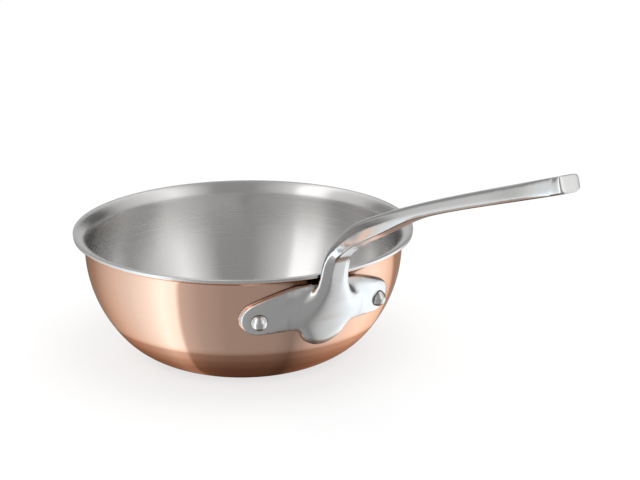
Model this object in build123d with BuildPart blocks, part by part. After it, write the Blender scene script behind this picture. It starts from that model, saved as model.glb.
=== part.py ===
from build123d import *
from math import asin, atan2, copysign, cos, degrees, hypot, radians, sin, sqrt
import os

os.makedirs("parts", exist_ok=True)

# Sizes are in millimetres. The pan stands on z = 0, its axis is Z and its handle points along +X.

# Bowl: three bonded layers, spun to one profile and measured on its outer surface
cavity_radius = 100.0  # inside, just below the lip: the nominal 20 cm
lining_thickness = 0.4
core_thickness = 1.2
skin_thickness = 0.4
corner_radius = 8.2  # where the flat base turns up
corner_turn = 24.0  # degrees from flat at the end of the corner arc
belly_radius = 55.6
belly_turn = 50.0
shoulder_radius = 83.8  # from the belly up to the upright band
band_height = 2.8
lip_radius = 6.1
lip_turn = 97.0  # the lip rolls past level, so that it pours cleanly

# Plate of the handle, seen from the front
plate_thickness = 4.5
plate_rise = 2.6  # of the plate's top above the foot of the lip
wing_radius = 11.0
wing_reach = 40.2  # from the middle to the centre of the wing's round end
wing_drop = 21.0  # from the plate's top to that centre
waist_drop = 7.6  # from that centre to where the wings' lower edges would meet
lobe_radius = 16.2
lobe_drop = 7.0  # from the wings' centres to the lobe's
lobe_hollow_radius = 7.0
plate_edge_radius = 2.6

# Arm of the handle, measured from the lip
lip_gap = 1.2  # all round the lip
arm_reach = 204.8
arm_rise = 107.4
face_foot_drop = 5.0  # from the wings' centres to the foot of the arm's face
face_sink = 1.4  # how far the foot of the arm's face lies inside the plate
foot_thickness = 10.0
throat_thickness = 5.4
shoulder_thickness = 11.4
grip_thickness = 7.6
end_thickness = 8.7
foot_half_width = 39.0
throat_half_width = 9.4
grip_half_width = 7.0
hip_half_width = 8.5
end_half_width = 6.5
foot_face_half_width = 30.0
throat_face_half_width = 4.4
belly_half_width = 5.5
arm_edge_radius = 1.5
belly_edge_radius = 0.8
side_flare = 1.8  # power of the arm's widening from the throat down to its foot
face_flare = 2.2  # the same for its face

# Slot to hang the pan by
slot_length = 15.0
slot_width = 6.0
slot_setback = 17.0  # from the end of the arm to the middle of the slot

# Rivets
rivet_reach = 40.1  # on the outside of the wall
rivet_drop = 0.8  # below the middle of the wing's round end
shank_radius = 2.8
rivet_clearance = 0.05
button_radius = 5.0
button_height = 4.2
seat_depth = 0.4  # of the flat that the button sits on
seat_clearance = 0.1
inner_head_radius = 6.4
inner_head_height = 2.2
inner_head_edge = 0.5

overrun = 6.0  # how far a cutting shape passes its work

# Sizes that follow from those above
wall_thickness = lining_thickness + core_thickness + skin_thickness
neck_radius = cavity_radius + wall_thickness
corner_end = radians(corner_turn)
belly_end = radians(belly_turn)
base_radius = (
    neck_radius
    - corner_radius * sin(corner_end)
    - belly_radius * (sin(belly_end) - sin(corner_end))
    - shoulder_radius * (1 - sin(belly_end))
)
corner_centre = Vector(base_radius, corner_radius)
belly_centre = corner_centre + Vector(sin(corner_end), -cos(corner_end)) * (corner_radius - belly_radius)
shoulder_centre = belly_centre + Vector(sin(belly_end), -cos(belly_end)) * (belly_radius - shoulder_radius)
shoulder_turn = 90 - belly_turn
lip_centre = Vector(neck_radius + lip_radius, shoulder_centre.Y + band_height)
rim_radius = lip_centre.X - (lip_radius + wall_thickness) * cos(radians(lip_turn))
crest_height = lip_centre.Y + lip_radius + wall_thickness
plate_top = lip_centre.Y + plate_rise
wing_height = plate_top - wing_drop
waist_height = wing_height - waist_drop
lobe_height = wing_height - lobe_drop
rivet_height = wing_height - rivet_drop
face_foot_height = wing_height - face_foot_drop


def wall_radius(height):
    """Outer radius of the bowl at a height on its shoulder."""
    return shoulder_centre.X + sqrt(shoulder_radius**2 - (shoulder_centre.Y - height) ** 2)


# Section of the bowl: lines at one depth inside its outer surface, from the middle of the base up
def base_and_wall(depth):
    Line((0, depth), (base_radius, depth))
    CenterArc(corner_centre, corner_radius - depth, -90, corner_turn)
    CenterArc(belly_centre, belly_radius - depth, corner_turn - 90, belly_turn - corner_turn)
    CenterArc(shoulder_centre, shoulder_radius - depth, -shoulder_turn, shoulder_turn)
    band_radius = neck_radius - depth
    Line((band_radius, shoulder_centre.Y), (band_radius, lip_centre.Y))


def lip_arc(depth):
    return CenterArc(lip_centre, lip_radius + depth, 180, -lip_turn)


def wall_section(outer_depth, inner_depth):
    """Closed outline of one layer of the wall, between two depths."""
    base_and_wall(outer_depth)
    outer_edge = lip_arc(outer_depth)
    base_and_wall(inner_depth)
    inner_edge = lip_arc(inner_depth)
    Line(outer_edge @ 1, inner_edge @ 1)
    Line((0, outer_depth), (0, inner_depth))


# Rivets stand square to the wall, one on each side of the handle
def rivet_plane(side):
    """Plane on the outside of the wall, with its normal along the rivet."""
    radius = wall_radius(rivet_height)
    turn = side * asin(rivet_reach / radius)
    tilt = asin((shoulder_centre.Y - rivet_height) / shoulder_radius)
    outward = (cos(tilt) * cos(turn), cos(tilt) * sin(turn), -sin(tilt))
    origin = (radius * cos(turn), radius * sin(turn), rivet_height)
    return Plane(origin=origin, x_dir=(-sin(turn), cos(turn), 0), z_dir=outward)


rivet_planes = {"rivet_left": rivet_plane(-1), "rivet_right": rivet_plane(1)}

with BuildPart() as rivet_holes:
    for plane in rivet_planes.values():
        with BuildSketch(plane):
            Circle(shank_radius + rivet_clearance)
        extrude(amount=plate_thickness + overrun, both=True)

# The whole wall, for trimming the rivets' inner heads
with BuildPart() as wall:
    with BuildSketch(Plane.XZ):
        with BuildLine():
            wall_section(0, wall_thickness)
        make_face()
    revolve(axis=Axis.Z)
    add(rivet_holes.part, mode=Mode.SUBTRACT)

# Bowl: copper skin, aluminium core and steel lining
layer_depths = {
    "copper_skin": (0, skin_thickness),
    "aluminium_core": (skin_thickness, skin_thickness + core_thickness),
    "steel_lining": (skin_thickness + core_thickness, wall_thickness),
}
for name, (outer_depth, inner_depth) in layer_depths.items():
    with BuildPart() as layer:
        with BuildSketch(Plane.XZ):
            with BuildLine():
                wall_section(outer_depth, inner_depth)
            make_face()
        revolve(axis=Axis.Z)
        add(rivet_holes.part, mode=Mode.SUBTRACT)
    layer.part.label = name
    export_step(layer.part, f"parts/{name}.step")

# Rivets: a domed button on the plate, a shank, and a flatter domed head on the lining
def dome(base, radius, height):
    """Arc of a dome on the axis, from its apex to its edge. Its height is negative where it faces down."""
    sphere_radius = (radius**2 + height**2) / (2 * abs(height))
    centre = base + height - copysign(sphere_radius, height)
    turn = degrees(asin(radius / sphere_radius))
    return CenterArc((0, centre), sphere_radius, copysign(90, height), -copysign(turn, height))


for name, plane in rivet_planes.items():
    button_base = plate_thickness - seat_depth
    head_base = -wall_thickness
    head_edge = head_base - inner_head_edge
    with BuildPart() as rivet:
        with BuildSketch(Plane(origin=plane.origin, x_dir=plane.x_dir, z_dir=-plane.y_dir)):
            with BuildLine():
                button = dome(button_base, button_radius, button_height)
                Polyline(button @ 1, (shank_radius, button_base), (shank_radius, head_base))
                head = dome(head_edge, inner_head_radius, inner_head_edge - inner_head_height)
                Polyline((shank_radius, head_base), (inner_head_radius, head_base), head @ 1)
                Line(head @ 0, button @ 0)
            make_face()
        revolve(axis=Axis(plane.origin, plane.z_dir))
        add(wall.part, mode=Mode.SUBTRACT)
    rivet.part.label = name
    export_step(rivet.part, f"parts/{name}.step")

# Plate: a band of the wall's outside, cut to the front outline
arch_radius = (wing_reach**2 + (plate_top - wing_height) ** 2 - wing_radius**2) / (
    2 * (plate_top - wing_height - wing_radius)
)
arch_centre = Vector(0, plate_top - arch_radius)
arch_turn = degrees(atan2(wing_reach, wing_height - arch_centre.Y))
waist_turn = degrees(
    atan2(wing_height - waist_height, wing_reach)
    - asin(wing_radius / hypot(wing_reach, wing_height - waist_height))
)
band_top = plate_top + overrun
front_share = 0.7  # edges whose middle lies beyond this share of the plate's thickness are its front edges

with BuildPart() as plate:
    with BuildSketch(Plane.YZ) as front:
        with BuildLine():
            CenterArc(arch_centre, arch_radius, 90 - arch_turn, 2 * arch_turn)
            for side in (1, -1):
                sweep = -side * (180 + waist_turn - arch_turn)
                end = CenterArc((side * wing_reach, wing_height), wing_radius, 90 - side * arch_turn, sweep)
                Line(end @ 1, (0, waist_height))
        make_face()
        with Locations((0, lobe_height)):
            Circle(lobe_radius)
        fillet(front.vertices().sort_by_distance((0, lobe_height))[:2], lobe_hollow_radius)
    extrude(amount=neck_radius + plate_thickness + overrun)
    with BuildSketch(Plane.XZ):
        with BuildLine():
            back = CenterArc(shoulder_centre, shoulder_radius, -shoulder_turn, shoulder_turn)
            face = CenterArc(shoulder_centre, shoulder_radius + plate_thickness, -shoulder_turn, shoulder_turn)
            Line(back @ 0, face @ 0)
            Polyline(back @ 1, ((back @ 1).X, band_top), ((face @ 1).X, band_top), face @ 1)
        make_face()
    revolve(axis=Axis.Z, mode=Mode.INTERSECT)
    front_edges = []
    for edge in plate.edges():
        middle = edge @ 0.5
        if hypot(middle.X, middle.Y) > wall_radius(middle.Z) + front_share * plate_thickness:
            front_edges.append(edge)
    fillet(front_edges, plate_edge_radius)

# Arm: a loft through its cross sections, from inside the plate to the end of the grip.
# The crown is its inner, then upper side, and the belly its outer, then lower side.
face_foot = Vector(wall_radius(face_foot_height) + plate_thickness - face_sink, face_foot_height)
throat = Vector(rim_radius + lip_gap, crest_height + lip_gap)
throat_face = throat + Vector(throat_thickness, 0)
keystone_tilt = atan2(throat_face.Y - face_foot.Y, throat_face.X - face_foot.X)
crown_foot = face_foot + Vector(-sin(keystone_tilt), cos(keystone_tilt)) * foot_thickness
crown_points = [(crown_foot.X, 0, crown_foot.Y), (throat.X, 0, throat.Y)]
crown_shares = (
    (0.029, 0.135),
    (0.061, 0.211),
    (0.138, 0.34),
    (0.237, 0.44),
    (0.434, 0.6),
    (0.696, 0.79),
    (1, 1),
)
for reach_share, rise_share in crown_shares:
    crown_points.append((rim_radius + reach_share * arm_reach, 0, crest_height + rise_share * arm_rise))

# Each size of the section against the share of the arm's length where it stands
section_count = 36
crowding = 1.5  # power that sets the sections closer together towards the foot
face_radius = neck_radius + plate_thickness  # the arm's face is rounded as the plate is
throat_share = 0.125
hip_share = 0.915
grip_share = 0.8  # the grip is even from where the neck ends to here
belly_hip = belly_half_width + hip_half_width - grip_half_width
thickness_shares = (
    (0, foot_thickness),
    (throat_share, throat_thickness),
    (0.33, shoulder_thickness),
    (0.55, grip_thickness),
    (1, end_thickness),
)
half_width_shares = (
    (0, foot_half_width),
    (throat_share, throat_half_width),
    (0.24, grip_half_width),
    (grip_share, grip_half_width),
    (hip_share, hip_half_width),
    (1, end_half_width),
)
belly_width_shares = (
    (0, foot_face_half_width),
    (throat_share, throat_face_half_width),
    (0.33, belly_half_width),
    (grip_share, belly_half_width),
    (hip_share, belly_hip),
    (1, belly_half_width),
)
side_shares = ((0, 0.42), (throat_share, 0.5), (0.3, 0.42), (0.55, 0.7), (1, 0.78))


def flared(profile, share, power):
    """Width at a share of the arm's length: it flares below the throat and is eased above it."""
    if share > throat_share:
        return eased(profile, share)
    foot_width = profile[0][1]
    throat_width = profile[1][1]
    return throat_width + (foot_width - throat_width) * (1 - share / throat_share) ** power


def eased(profile, share):
    """Value at a share of the arm's length, easing from one place of the profile to the next."""
    for (start, before), (end, after) in zip(profile, profile[1:]):
        if share <= end:
            part = (share - start) / (end - start)
            return before + (after - before) * part**2 * (3 - 2 * part)


with BuildLine() as crown_line:
    crown = Spline(crown_points)


def arm_up(share):
    """Direction square to the arm's crown."""
    along = crown % share
    return (-along.Z, 0, along.X)


with BuildPart() as arm:
    for index in range(section_count + 1):
        share = (index / section_count) ** crowding
        thickness = eased(thickness_shares, share)
        half_width = flared(half_width_shares, share, side_flare)
        side_depth = thickness * eased(side_shares, share)
        belly_width = flared(belly_width_shares, share, face_flare)
        belly_rise = face_radius - sqrt(face_radius**2 - belly_width**2)
        right = [(half_width, 0), (half_width, -side_depth), (belly_width, belly_rise - thickness)]
        left = [(-x, y) for x, y in reversed(right)]
        with BuildSketch(Plane(origin=crown @ share, x_dir=(0, 1, 0), z_dir=crown % share)) as outline:
            with BuildLine():
                Polyline(left + right)
                ThreePointArc(right[-1], (0, -thickness), left[0])
            make_face()
            corners = outline.vertices().sort_by(Axis.Y)
            fillet(corners[2:], arm_edge_radius)
            fillet(corners[:2], belly_edge_radius)
    loft()

# What the handle stays clear of: all that the bowl fills, and a gap round its lip
with BuildPart() as bowl_space:
    with BuildSketch(Plane.XZ):
        with BuildLine():
            base_and_wall(0)
            under_lip = CenterArc(lip_centre, lip_radius - lip_gap, 180, -lip_turn)
            Line((neck_radius, lip_centre.Y), under_lip @ 0)
            clear_radius = rim_radius + lip_gap
            clear_top = crest_height + overrun
            Polyline(under_lip @ 1, (clear_radius, (under_lip @ 1).Y), (clear_radius, clear_top))
            Polyline((clear_radius, clear_top), (0, clear_top), (0, 0))
        make_face()
    revolve(axis=Axis.Z)

# Handle: plate and arm in one casting, seated on the wall, with a flat seat under each button
with BuildPart() as handle:
    add(plate.part)
    add(arm.part)
    add(bowl_space.part, mode=Mode.SUBTRACT)
    add(rivet_holes.part, mode=Mode.SUBTRACT)
    for plane in rivet_planes.values():
        with BuildSketch(plane.offset(plate_thickness - seat_depth)):
            Circle(button_radius + seat_clearance)
        extrude(amount=overrun, mode=Mode.SUBTRACT)
    slot_place = 1 - slot_setback / crown.length
    with BuildSketch(Plane(origin=crown @ slot_place, x_dir=crown % slot_place, z_dir=arm_up(slot_place))):
        SlotOverall(slot_length, slot_width)
    extrude(amount=end_thickness + overrun, both=True, mode=Mode.SUBTRACT)
handle.part.label = "handle"
export_step(handle.part, "parts/handle.step")
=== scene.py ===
from math import asin, cos, degrees, radians, sin, sqrt

import bmesh
import bpy
from mathutils import Matrix, Vector


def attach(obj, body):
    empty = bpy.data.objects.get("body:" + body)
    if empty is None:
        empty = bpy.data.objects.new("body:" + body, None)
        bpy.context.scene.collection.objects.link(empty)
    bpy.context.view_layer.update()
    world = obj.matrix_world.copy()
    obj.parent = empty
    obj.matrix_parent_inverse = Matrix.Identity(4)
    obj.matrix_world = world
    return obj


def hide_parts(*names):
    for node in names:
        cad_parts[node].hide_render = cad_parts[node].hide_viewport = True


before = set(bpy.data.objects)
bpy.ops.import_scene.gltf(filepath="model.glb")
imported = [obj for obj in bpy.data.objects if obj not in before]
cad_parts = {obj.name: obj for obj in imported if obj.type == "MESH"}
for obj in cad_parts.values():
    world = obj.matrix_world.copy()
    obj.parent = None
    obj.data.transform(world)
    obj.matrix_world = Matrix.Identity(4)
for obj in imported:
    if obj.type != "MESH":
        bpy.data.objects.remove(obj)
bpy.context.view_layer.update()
mm = 0.001
mergeGap = 0.01 * mm

# The pan's own sizes, in mm, as they are in the part's source
bowl = {
    "cavityRadius": 100.0,
    "lining": 0.4,
    "core": 1.2,
    "skin": 0.4,
    "cornerRadius": 8.2,
    "cornerTurn": 24.0,
    "cornerSteps": 8,
    "bellyRadius": 55.6,
    "bellyTurn": 50.0,
    "bellySteps": 14,
    "shoulderRadius": 83.8,
    "shoulderSteps": 20,
    "bandHeight": 2.8,
    "lipRadius": 6.1,
    "lipTurn": 97.0,
    "lipSteps": 18,
    "roundSteps": 200,
}
wall = bowl["lining"] + bowl["core"] + bowl["skin"]
neckRadius = bowl["cavityRadius"] + wall
cornerSin, cornerCos = sin(radians(bowl["cornerTurn"])), cos(radians(bowl["cornerTurn"]))
bellySin, bellyCos = sin(radians(bowl["bellyTurn"])), cos(radians(bowl["bellyTurn"]))
baseRadius = (
    neckRadius
    - bowl["cornerRadius"] * cornerSin
    - bowl["bellyRadius"] * (bellySin - cornerSin)
    - bowl["shoulderRadius"] * (1 - bellySin)
)
cornerCentre = Vector((baseRadius, 0, bowl["cornerRadius"]))
bellyShift = bowl["cornerRadius"] - bowl["bellyRadius"]
bellyCentre = cornerCentre + Vector((cornerSin, 0, -cornerCos)) * bellyShift
shoulderShift = bowl["bellyRadius"] - bowl["shoulderRadius"]
shoulderCentre = bellyCentre + Vector((bellySin, 0, -bellyCos)) * shoulderShift
lipCentre = Vector((neckRadius + bowl["lipRadius"], 0, shoulderCentre.z + bowl["bandHeight"]))


# Camera, at the photograph's place and angle
view = {
    "place": (0.82617, -0.44097, 0.36974),
    "turn": (72.261, 0.0, 58.9),
    "lens": 85.39,
    "sensor": 36.0,
    "farEnd": 50,
}
cameraData = bpy.data.cameras.new("camera")
cameraData.lens = view["lens"]
cameraData.sensor_width = view["sensor"]
cameraData.clip_end = view["farEnd"]
camera = bpy.data.objects.new("camera", cameraData)
camera.location = view["place"]
camera.rotation_euler = [radians(turn) for turn in view["turn"]]
bpy.context.collection.objects.link(camera)
bpy.context.scene.camera = camera
print("camera placed")


# Helpers for node trees
def newMaterial(name):
    material = bpy.data.materials.new(name)
    material.use_nodes = True
    tree = material.node_tree
    return material, tree, tree.nodes["Principled BSDF"]


def addNode(tree, kind, **settings):
    node = tree.nodes.new(kind)
    for key, value in settings.items():
        setattr(node, key, value)
    return node


def feed(tree, socket, value):
    # a plain value is set on the socket, and another node's output is linked to it
    if isinstance(value, (int, float, tuple)):
        socket.default_value = value
    else:
        tree.links.new(value, socket)


def mathNode(tree, operation, first, second):
    node = addNode(tree, "ShaderNodeMath", operation=operation)
    feed(tree, node.inputs[0], first)
    feed(tree, node.inputs[1], second)
    return node.outputs[0]


def vectorNode(tree, operation, *values):
    node = addNode(tree, "ShaderNodeVectorMath", operation=operation)
    for socket, value in zip(node.inputs, values):
        feed(tree, socket, value)
    return node


def splitNode(tree, vector):
    node = addNode(tree, "ShaderNodeSeparateXYZ")
    tree.links.new(vector, node.inputs[0])
    return node.outputs


def joinNode(tree, *values):
    node = addNode(tree, "ShaderNodeCombineXYZ")
    for socket, value in zip(node.inputs, values):
        tree.links.new(value, socket)
    return node.outputs[0]


def noiseNode(tree, place, scale, detail):
    node = addNode(tree, "ShaderNodeTexNoise")
    feed(tree, node.inputs["Vector"], place)
    feed(tree, node.inputs["Scale"], scale)
    feed(tree, node.inputs["Detail"], detail)
    return node.outputs["Fac"]


def rangeNode(tree, value, start, end, low=0.0, high=1.0):
    node = addNode(tree, "ShaderNodeMapRange")
    feed(tree, node.inputs["Value"], value)
    feed(tree, node.inputs["From Min"], start)
    feed(tree, node.inputs["From Max"], end)
    feed(tree, node.inputs["To Min"], low)
    feed(tree, node.inputs["To Max"], high)
    return node.outputs[0]


def rampNode(tree, factor, stops):
    # each stop is a place from 0 to 1, with a grey or a colour
    node = addNode(tree, "ShaderNodeValToRGB")
    node.color_ramp.interpolation = "LINEAR"
    points = node.color_ramp.elements
    while len(points) < len(stops):
        points.new(0.5)
    for point, (place, colour) in zip(points, stops):
        point.position = place
        point.color = (*colour, 1) if isinstance(colour, tuple) else (colour, colour, colour, 1)
    tree.links.new(factor, node.inputs[0])
    return node.outputs[0]


def blendNode(tree, mode, factor, first, second):
    node = addNode(tree, "ShaderNodeMix", data_type="RGBA", blend_type=mode)
    feed(tree, node.inputs["Factor"], factor)
    tree.links.new(first, node.inputs["A"])
    tree.links.new(second, node.inputs["B"])
    return node.outputs["Result"]


def pickNode(tree, factor, first, second):
    # the first shader where the factor is 0, and the second where it is 1
    node = addNode(tree, "ShaderNodeMixShader")
    for socket, value in zip(node.inputs, (factor, first, second)):
        tree.links.new(value, socket)
    return node.outputs[0]


# Materials: dull is the share of each colour left in the marks, and lineHeight is in mm
marksLow, marksHigh = 0.3, 0.7
# painted shade in crevices and between parts: how far the occlusion reaches, and how dark it paints the
# colour
creviceShade = {"reach": 6.0, "dark": 0.3, "closed": 0.25, "open": 0.8, "samples": 8}
copperLook = {
    "colour": (0.91, 0.6, 0.465),
    "dull": (0.985, 0.975, 0.965),
    "edge": (0.96, 0.7, 0.55),
    "roughness": 0.045,
    "smear": (0.35, 0.75),
    "spread": (0.8, 1.6),
    "lines": 900,
    "drift": 6.0,
    "lineDepth": 0.004,
    "lineHeight": 0.2,
}
liningLook = {
    "colour": (0.74, 0.73, 0.72),
    "dull": (0.97, 0.97, 0.97),
    "roughness": 0.24,
    "smear": (0.3, 0.7),
    "spread": (0.85, 1.15),
    "grain": 0.93,
    "grainTurn": 0.25,
    "lines": 2600,
    "drift": 14.0,
    "lineDepth": 0.012,
    "lineHeight": 0.1,
}
satin = {
    "dull": (0.96, 0.96, 0.96),
    "smear": (0.3, 0.7),
    "spread": (0.85, 1.15),
    "cloud": 60.0,
    "belt": (60, 1800, 1200),
    "lineHeight": 0.1,
}
handleLook = {"colour": (0.8, 0.795, 0.79), "roughness": 0.14, "lineDepth": 0.03}
coreLook = {"colour": (0.8, 0.8, 0.81), "roughness": 0.3, "lineDepth": 0.02}
rivetLook = {"colour": (0.76, 0.755, 0.75), "roughness": 0.12, "lineDepth": 0.01}


def roundTheBowl(tree, look):
    # polishing marks that run in circles: noise read by radius and height alone, with a slow drift
    place = addNode(tree, "ShaderNodeTexCoord").outputs["Object"]
    split = splitNode(tree, place)
    flat = joinNode(tree, split["X"], split["Y"])
    radius = vectorNode(tree, "LENGTH", flat).outputs["Value"]
    outward = mathNode(tree, "MULTIPLY", radius, look["lines"])
    upward = mathNode(tree, "MULTIPLY", split["Z"], look["lines"])
    drift = noiseNode(tree, place, look["drift"], 2.0)
    return noiseNode(tree, joinNode(tree, outward, upward, drift), 1.0, 3.0)


def paintCreviceShade(tree, colour):
    # painted shade: the base colour is darkened by ambient occlusion where two faces meet closely
    near = addNode(tree, "ShaderNodeAmbientOcclusion", samples=creviceShade["samples"])
    near.inputs["Distance"].default_value = creviceShade["reach"] * mm
    stops = [(creviceShade["closed"], creviceShade["dark"]), (creviceShade["open"], 1.0)]
    return blendNode(tree, "MULTIPLY", 1.0, colour, rampNode(tree, near.outputs["AO"], stops))


def tintByMarks(tree, marks, look):
    dulled = tuple(part * share for part, share in zip(look["colour"], look["dull"]))
    return rampNode(tree, marks, [(marksLow, dulled), (marksHigh, look["colour"])])


def smearByMarks(tree, shader, marks, look):
    least, most = [look["roughness"] * share for share in look["spread"]]
    feed(tree, shader.inputs["Roughness"], rangeNode(tree, marks, *look["smear"], least, most))


def scratch(tree, shader, marks, look):
    bump = addNode(tree, "ShaderNodeBump")
    bump.inputs["Strength"].default_value = look["lineDepth"]
    bump.inputs["Distance"].default_value = look["lineHeight"] * mm
    tree.links.new(marks, bump.inputs["Height"])
    tree.links.new(bump.outputs[0], shader.inputs["Normal"])


def copperMaterial():
    material, tree, shader = newMaterial("copper")
    shader.inputs["Metallic"].default_value = 1.0
    shader.inputs["Specular Tint"].default_value = (*copperLook["edge"], 1)
    marks = roundTheBowl(tree, copperLook)
    tint = tintByMarks(tree, marks, copperLook)
    # the copper's colour, with painted shade where faces meet closely
    tree.links.new(paintCreviceShade(tree, tint), shader.inputs["Base Color"])
    smearByMarks(tree, shader, marks, copperLook)
    scratch(tree, shader, marks, copperLook)
    return material


def liningMaterial():
    material, tree, shader = newMaterial("lining")
    shader.inputs["Metallic"].default_value = 1.0
    # the grooves run round the bowl, so its reflections spread up and down the wall
    shader.inputs["Anisotropic"].default_value = liningLook["grain"]
    shader.inputs["Anisotropic Rotation"].default_value = liningLook["grainTurn"]
    marks = roundTheBowl(tree, liningLook)
    tree.links.new(tintByMarks(tree, marks, liningLook), shader.inputs["Base Color"])
    smearByMarks(tree, shader, marks, liningLook)
    scratch(tree, shader, marks, liningLook)
    return material


def satinMaterial(name, ownLook):
    look = {**satin, **ownLook}
    material, tree, shader = newMaterial(name)
    shader.inputs["Metallic"].default_value = 1.0
    place = addNode(tree, "ShaderNodeTexCoord").outputs["Object"]
    cloud = noiseNode(tree, place, look["cloud"], 4.0)
    tint = tintByMarks(tree, cloud, look)
    # the metal's colour, with painted shade where faces meet closely
    tree.links.new(paintCreviceShade(tree, tint), shader.inputs["Base Color"])
    smearByMarks(tree, shader, cloud, look)
    # faint belt marks along the pan's length
    belt = addNode(tree, "ShaderNodeMapping")
    tree.links.new(place, belt.inputs["Vector"])
    belt.inputs["Scale"].default_value = look["belt"]
    scratch(tree, shader, noiseNode(tree, belt.outputs[0], 1.0, 3.0), look)
    return material


copper = copperMaterial()
lining = liningMaterial()
core = satinMaterial("core", coreLook)
handleMetal = satinMaterial("handle", handleLook)
rivetMetal = satinMaterial("rivets", rivetLook)
print("materials ready")


# Helpers for meshes
def rollOn(bm, tip, centre, turn, steps):
    # carries the outline's tip round a centre, and returns the new tip
    arc = bmesh.ops.spin(
        bm,
        geom=[tip],
        cent=centre,
        axis=(0, 1, 0),
        dvec=(0, 0, 0),
        angle=radians(turn),
        steps=steps,
        use_duplicate=False,
    )
    return [item for item in arc["geom_last"] if isinstance(item, bmesh.types.BMVert)][0]


def runTo(bm, tip, place):
    new = bmesh.ops.create_vert(bm, co=place)["vert"][0]
    bm.edges.new((tip, new))
    return new


def spinRound(bm, steps):
    # a full turn of the outline round the axis
    bmesh.ops.spin(
        bm,
        geom=bm.verts[:] + bm.edges[:],
        cent=(0, 0, 0),
        axis=(0, 0, 1),
        dvec=(0, 0, 0),
        angle=radians(360),
        steps=steps,
        use_merge=True,
    )
    bmesh.ops.remove_doubles(bm, verts=bm.verts, dist=mergeGap)


def finishPiece(bm, name, material, nodes, sharp=40):
    bmesh.ops.recalc_face_normals(bm, faces=bm.faces)
    mesh = bpy.data.meshes.new(name)
    bm.to_mesh(mesh)
    bm.free()
    mesh.materials.append(material)
    mesh.shade_smooth()
    mesh.set_sharp_from_angle(angle=radians(sharp))
    piece = bpy.data.objects.new(name, mesh)
    bpy.context.collection.objects.link(piece)
    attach(piece, "root")
    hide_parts(*nodes)


# Bowl: each layer is an outline between two depths, spun round the pan's axis
def layerSide(bm, depth):
    first = bmesh.ops.create_vert(bm, co=(0, 0, depth * mm))["vert"][0]
    tip = runTo(bm, first, (baseRadius * mm, 0, depth * mm))
    tip = rollOn(bm, tip, cornerCentre * mm, -bowl["cornerTurn"], bowl["cornerSteps"])
    tip = rollOn(bm, tip, bellyCentre * mm, bowl["cornerTurn"] - bowl["bellyTurn"], bowl["bellySteps"])
    tip = rollOn(bm, tip, shoulderCentre * mm, bowl["bellyTurn"] - 90, bowl["shoulderSteps"])
    tip = runTo(bm, tip, ((neckRadius - depth) * mm, 0, lipCentre.z * mm))
    tip = rollOn(bm, tip, lipCentre * mm, bowl["lipTurn"], bowl["lipSteps"])
    return tip


def bowlLayer(name, outerDepth, innerDepth, material, node):
    bm = bmesh.new()
    outerTip = layerSide(bm, outerDepth)
    innerTip = layerSide(bm, innerDepth)
    bm.edges.new((outerTip, innerTip))
    spinRound(bm, bowl["roundSteps"])
    finishPiece(bm, name, material, [node])


skinDepth = bowl["skin"]
coreDepth = bowl["skin"] + bowl["core"]
bowlLayer("copperBowl", 0, skinDepth, copper, "copper_skin")
bowlLayer("bowlCore", skinDepth, coreDepth, core, "aluminium_core")
bowlLayer("bowlLining", coreDepth, wall, lining, "steel_lining")
print("bowl spun in three layers")


# Rivets: an outline spun round its own axis, then leaned square to the wall
rivet = {
    "reach": 40.1,
    "height": 53.23,
    "shank": 2.8,
    "seat": 4.1,
    "button": 5.0,
    "buttonHeight": 4.2,
    "buttonSteps": 8,
    "innerHead": 6.4,
    "innerHeight": 2.2,
    "innerEdge": 0.5,
    "innerSteps": 10,
    "roundSteps": 48,
}


def wallRadius(height):
    return shoulderCentre.x + sqrt(bowl["shoulderRadius"] ** 2 - (shoulderCentre.z - height) ** 2)


def domeTo(bm, tip, radius, height, steps):
    # from a dome's edge up or down to its apex on the axis
    sphere = (radius**2 + height**2) / (2 * abs(height))
    way = 1 if height > 0 else -1
    centre = Vector((0, 0, tip.co.z / mm + height - way * sphere)) * mm
    return rollOn(bm, tip, centre, -way * degrees(asin(radius / sphere)), steps)


def makeRivet(name, side, node):
    bm = bmesh.new()
    seat = bmesh.ops.create_vert(bm, co=(rivet["button"] * mm, 0, rivet["seat"] * mm))["vert"][0]
    domeTo(bm, seat, rivet["button"], rivet["buttonHeight"], rivet["buttonSteps"])
    tip = runTo(bm, seat, (rivet["shank"] * mm, 0, rivet["seat"] * mm))
    tip = runTo(bm, tip, (rivet["shank"] * mm, 0, -wall * mm))
    tip = runTo(bm, tip, (rivet["innerHead"] * mm, 0, -wall * mm))
    tip = runTo(bm, tip, (rivet["innerHead"] * mm, 0, -(wall + rivet["innerEdge"]) * mm))
    domeTo(bm, tip, rivet["innerHead"], rivet["innerEdge"] - rivet["innerHeight"], rivet["innerSteps"])
    spinRound(bm, rivet["roundSteps"])
    radius = wallRadius(rivet["height"])
    turn = side * asin(rivet["reach"] / radius)
    tilt = asin((shoulderCentre.z - rivet["height"]) / bowl["shoulderRadius"])
    outward = Vector((cos(tilt) * cos(turn), cos(tilt) * sin(turn), -sin(tilt)))
    along = Vector((-sin(turn), cos(turn), 0))
    place = Matrix((along, outward.cross(along), outward)).transposed().to_4x4()
    place.translation = Vector((radius * cos(turn), radius * sin(turn), rivet["height"])) * mm
    bmesh.ops.transform(bm, matrix=place, verts=bm.verts)
    finishPiece(bm, name, rivetMetal, [node])


makeRivet("rivetLeft", -1, "rivet_left")
makeRivet("rivetRight", 1, "rivet_right")
print("rivets set")


# Handle: the solid's own shape, remeshed evenly and then eased where the casting is soft
handle = {
    "mergeGap": 0.005,
    "voxel": 0.55,
    "easeFactor": 0.5,
    "easeAll": 2,
    "frontReach": 125.0,  # the plate and the neck's root are nearer and lower than these
    "frontHeight": 76.0,
    "pillowDepth": 1.2,
    "pillowTurns": 45,
    "plateFace": 3.5,  # the arm and its seam stand out further than this
    "seam": ((72, 100), (64, 80), (80, 8)),  # a height, and the turns of easing below it
    "footLow": 44.0,
    "footTop": 62.0,
    "footReach": 26.0,
    "footTurns": 350,
    "endStart": 309.0,
    "endTurns": 18,
    "sharp": 60,
}


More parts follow.
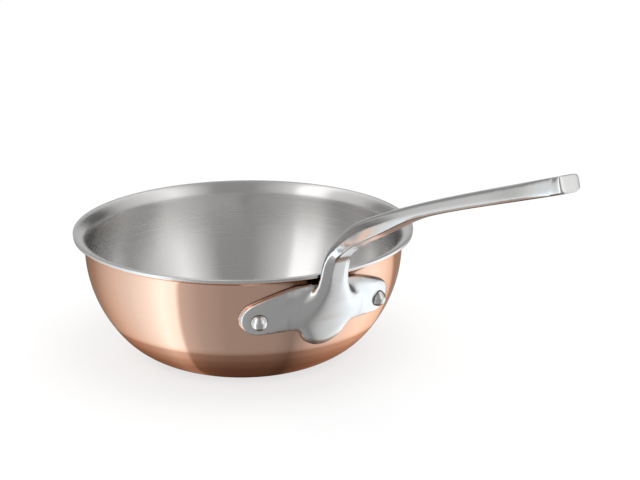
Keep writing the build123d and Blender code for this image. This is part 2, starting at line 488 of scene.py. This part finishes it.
def easeVerts(bm, verts, turns):
    for turn in range(turns):
        bmesh.ops.smooth_vert(
            bm, verts=verts, factor=handle["easeFactor"], use_axis_x=True, use_axis_y=True, use_axis_z=True
        )


def depthOn(vert):
    # how far the casting stands out from the wall here
    height = min(vert.co.z / mm, shoulderCentre.z)
    return vert.co.xy.length / mm - wallRadius(height)


def evenCopy():
    # the solid's loose triangles, merged and remeshed into even faces
    bm = bmesh.new()
    bm.from_mesh(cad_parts["handle"].data)
    bmesh.ops.remove_doubles(bm, verts=bm.verts, dist=handle["mergeGap"] * mm)
    mesh = bpy.data.meshes.new("handleRough")
    bm.to_mesh(mesh)
    bm.free()
    rough = bpy.data.objects.new("handleRough", mesh)
    bpy.context.collection.objects.link(rough)
    remesh = rough.modifiers.new("even", "REMESH")
    remesh.mode = "VOXEL"
    remesh.voxel_size = handle["voxel"] * mm
    depsgraph = bpy.context.evaluated_depsgraph_get()
    evened = bpy.data.meshes.new_from_object(rough.evaluated_get(depsgraph))
    bpy.data.objects.remove(rough)
    bm = bmesh.new()
    bm.from_mesh(evened)
    print("handle remeshed into", len(bm.faces), "faces")
    return bm


def makeHandle():
    bm = evenCopy()
    easeVerts(bm, bm.verts, handle["easeAll"])
    near = [vert for vert in bm.verts if vert.co.x < handle["frontReach"] * mm]
    front = [vert for vert in near if vert.co.z < handle["frontHeight"] * mm]
    pillow = [vert for vert in front if depthOn(vert) > handle["pillowDepth"]]
    easeVerts(bm, pillow, handle["pillowTurns"])
    proud = [vert for vert in bm.verts if depthOn(vert) > handle["plateFace"]]
    for top, turns in handle["seam"]:
        easeVerts(bm, [vert for vert in proud if vert.co.z < top * mm], turns)
    foot = [vert for vert in proud if handle["footLow"] < vert.co.z / mm < handle["footTop"]]
    foot = [vert for vert in foot if abs(vert.co.y) < handle["footReach"] * mm]
    easeVerts(bm, foot, handle["footTurns"])
    gripEnd = [vert for vert in bm.verts if vert.co.x > handle["endStart"] * mm]
    easeVerts(bm, gripEnd, handle["endTurns"])
    finishPiece(bm, "panHandle", handleMetal, ["handle"], handle["sharp"])


makeHandle()
print("handle eased")


# Floor, world and lamp
studio = {
    "floorColour": 0.95,
    "floorSize": 8.0,
    "floorRoughness": 0.9,
    "paper": 0.7,
    "fill": 1.0,
    "keyPower": 6.0,
    "keySize": 1.0,
    "keyPlace": (0.2, 0.1, 1.6),
    "keyAim": (0.05, 0, 0),
}

# The tent that metal reflects. Its bands are laid out by the way that a surface faces when it shows
# them to the photograph's camera: from far left at 0, past the middle at 0.5, to far right at 1
tent = {
    "towards": (0.8403, -0.4487, 0.3047),
    "turn": 28.1,
    "riseStart": 0.03,  # the low bands for surfaces that face level, and the high ones past riseEnd
    "riseEnd": 0.22,
    "low": [
        (0.0, 0.2),
        (0.05, 0.22),
        (0.12, 0.38),
        (0.155, 0.56),
        (0.2, 0.76),
        (0.25, (0.9, 0.96, 1.0)),
        (0.29, (1.08, 1.2, 1.26)),
        (0.33, (1.4, 1.6, 1.7)),
        (0.36, (1.3, 1.4, 1.45)),
        (0.37, 0.65),
        (0.41, 0.46),
        (0.46, 0.36),
        (0.56, 0.34),
        (0.6, 0.26),
        (0.65, 0.62),
        (0.7, (0.9, 0.93, 0.95)),
        (0.79, (1.25, 1.34, 1.4)),
        (0.84, (1.1, 1.17, 1.2)),
        (0.87, 0.95),
        (0.885, 0.42),
        (1.0, 0.28),
    ],
    "high": [
        (0.0, 0.6),
        (0.1, 0.3),
        (0.17, 0.3),
        (0.22, 0.7),
        (0.3, 0.8),
        (0.33, 1.5),
        (0.38, 1.5),
        (0.39, 0.85),
        (0.42, 0.66),
        (0.48, 0.33),
        (0.56, 0.33),
        (0.65, 1.2),
        (0.7, 0.9),
        (0.8, 0.55),
        (0.86, 0.13),
        (0.92, 0.13),
        (1.0, 0.6),
    ],
    "under": [  # by how far the surface faces down
        (0.0, 1.0),
        (0.5, 1.0),
        (0.535, (0.85, 0.78, 0.74)),
        (0.55, (0.58, 0.47, 0.41)),
        (0.6, (0.52, 0.4, 0.34)),
        (0.63, (0.41, 0.3, 0.24)),
        (0.72, (0.28, 0.19, 0.15)),
        (1.0, (0.24, 0.16, 0.12)),
    ],
}


def makeFloor():
    bm = bmesh.new()
    bmesh.ops.create_grid(bm, x_segments=1, y_segments=1, size=studio["floorSize"] / 2)
    mesh = bpy.data.meshes.new("floor")
    bm.to_mesh(mesh)
    bm.free()
    floor = bpy.data.objects.new("floor", mesh)
    bpy.context.collection.objects.link(floor)
    material, tree, shader = newMaterial("floor")
    tone = studio["floorColour"]
    shader.inputs["Base Color"].default_value = (tone, tone, tone, 1)
    shader.inputs["Roughness"].default_value = studio["floorRoughness"]
    shader.inputs["Specular IOR Level"].default_value = 0.0
    # the camera sees it partly as plain white paper, which leaves the pan's shadow faint
    paper = addNode(tree, "ShaderNodeEmission")
    seen = addNode(tree, "ShaderNodeLightPath").outputs["Is Camera Ray"]
    share = mathNode(tree, "MULTIPLY", seen, studio["paper"])
    surface = pickNode(tree, share, shader.outputs[0], paper.outputs[0])
    tree.links.new(surface, tree.nodes["Material Output"].inputs["Surface"])
    mesh.materials.append(material)
    floor.visible_glossy = False  # the tent's own underside is reflected in its place


def whiteLight(tree, strength):
    node = addNode(tree, "ShaderNodeBackground")
    node.inputs["Color"].default_value = (1, 1, 1, 1)
    node.inputs["Strength"].default_value = strength
    return node.outputs[0]


def makeWorld():
    # white to the camera, plain light for what is matt, and the tent for what is glossy
    world = bpy.data.worlds.new("studio")
    bpy.context.scene.world = world
    world.use_nodes = True
    tree = world.node_tree
    place = addNode(tree, "ShaderNodeTexCoord").outputs["Generated"]
    lean = vectorNode(tree, "ADD", place, tent["towards"]).outputs[0]
    facing = vectorNode(tree, "NORMALIZE", lean).outputs[0]
    turn = addNode(tree, "ShaderNodeVectorRotate", rotation_type="Z_AXIS")
    turn.inputs["Angle"].default_value = radians(tent["turn"])
    tree.links.new(facing, turn.inputs["Vector"])
    split = splitNode(tree, turn.outputs[0])
    angle = mathNode(tree, "ARCTAN2", split["Y"], split["X"])
    share = mathNode(tree, "ADD", mathNode(tree, "DIVIDE", angle, radians(180)), 0.5)
    rise = rangeNode(tree, split["Z"], tent["riseStart"], tent["riseEnd"])
    bands = blendNode(
        tree, "MIX", rise, rampNode(tree, share, tent["low"]), rampNode(tree, share, tent["high"])
    )
    down = mathNode(tree, "MULTIPLY", split["Z"], -1.0)
    toned = blendNode(tree, "MULTIPLY", 1.0, bands, rampNode(tree, down, tent["under"]))
    tentLight = tree.nodes["Background"]
    tree.links.new(toned, tentLight.inputs["Color"])
    path = addNode(tree, "ShaderNodeLightPath").outputs
    fill = whiteLight(tree, studio["fill"])
    pickGloss = pickNode(tree, path["Is Glossy Ray"], fill, tentLight.outputs[0])
    pickCamera = pickNode(tree, path["Is Camera Ray"], pickGloss, whiteLight(tree, 1.0))
    tree.links.new(pickCamera, tree.nodes["World Output"].inputs["Surface"])


def softLight(name, place, aim, size, power):
    data = bpy.data.lights.new(name, "AREA")
    data.shape = "DISK"
    data.size = size
    data.energy = power
    lamp = bpy.data.objects.new(name, data)
    lamp.location = place
    lamp.rotation_euler = (Vector(place) - Vector(aim)).to_track_quat("Z", "Y").to_euler()
    lamp.visible_glossy = False
    bpy.context.collection.objects.link(lamp)


makeFloor()
makeWorld()
softLight("overhead", studio["keyPlace"], studio["keyAim"], studio["keySize"], studio["keyPower"])
bpy.context.scene.view_settings.view_transform = "Standard"
print("floor, world and light ready")
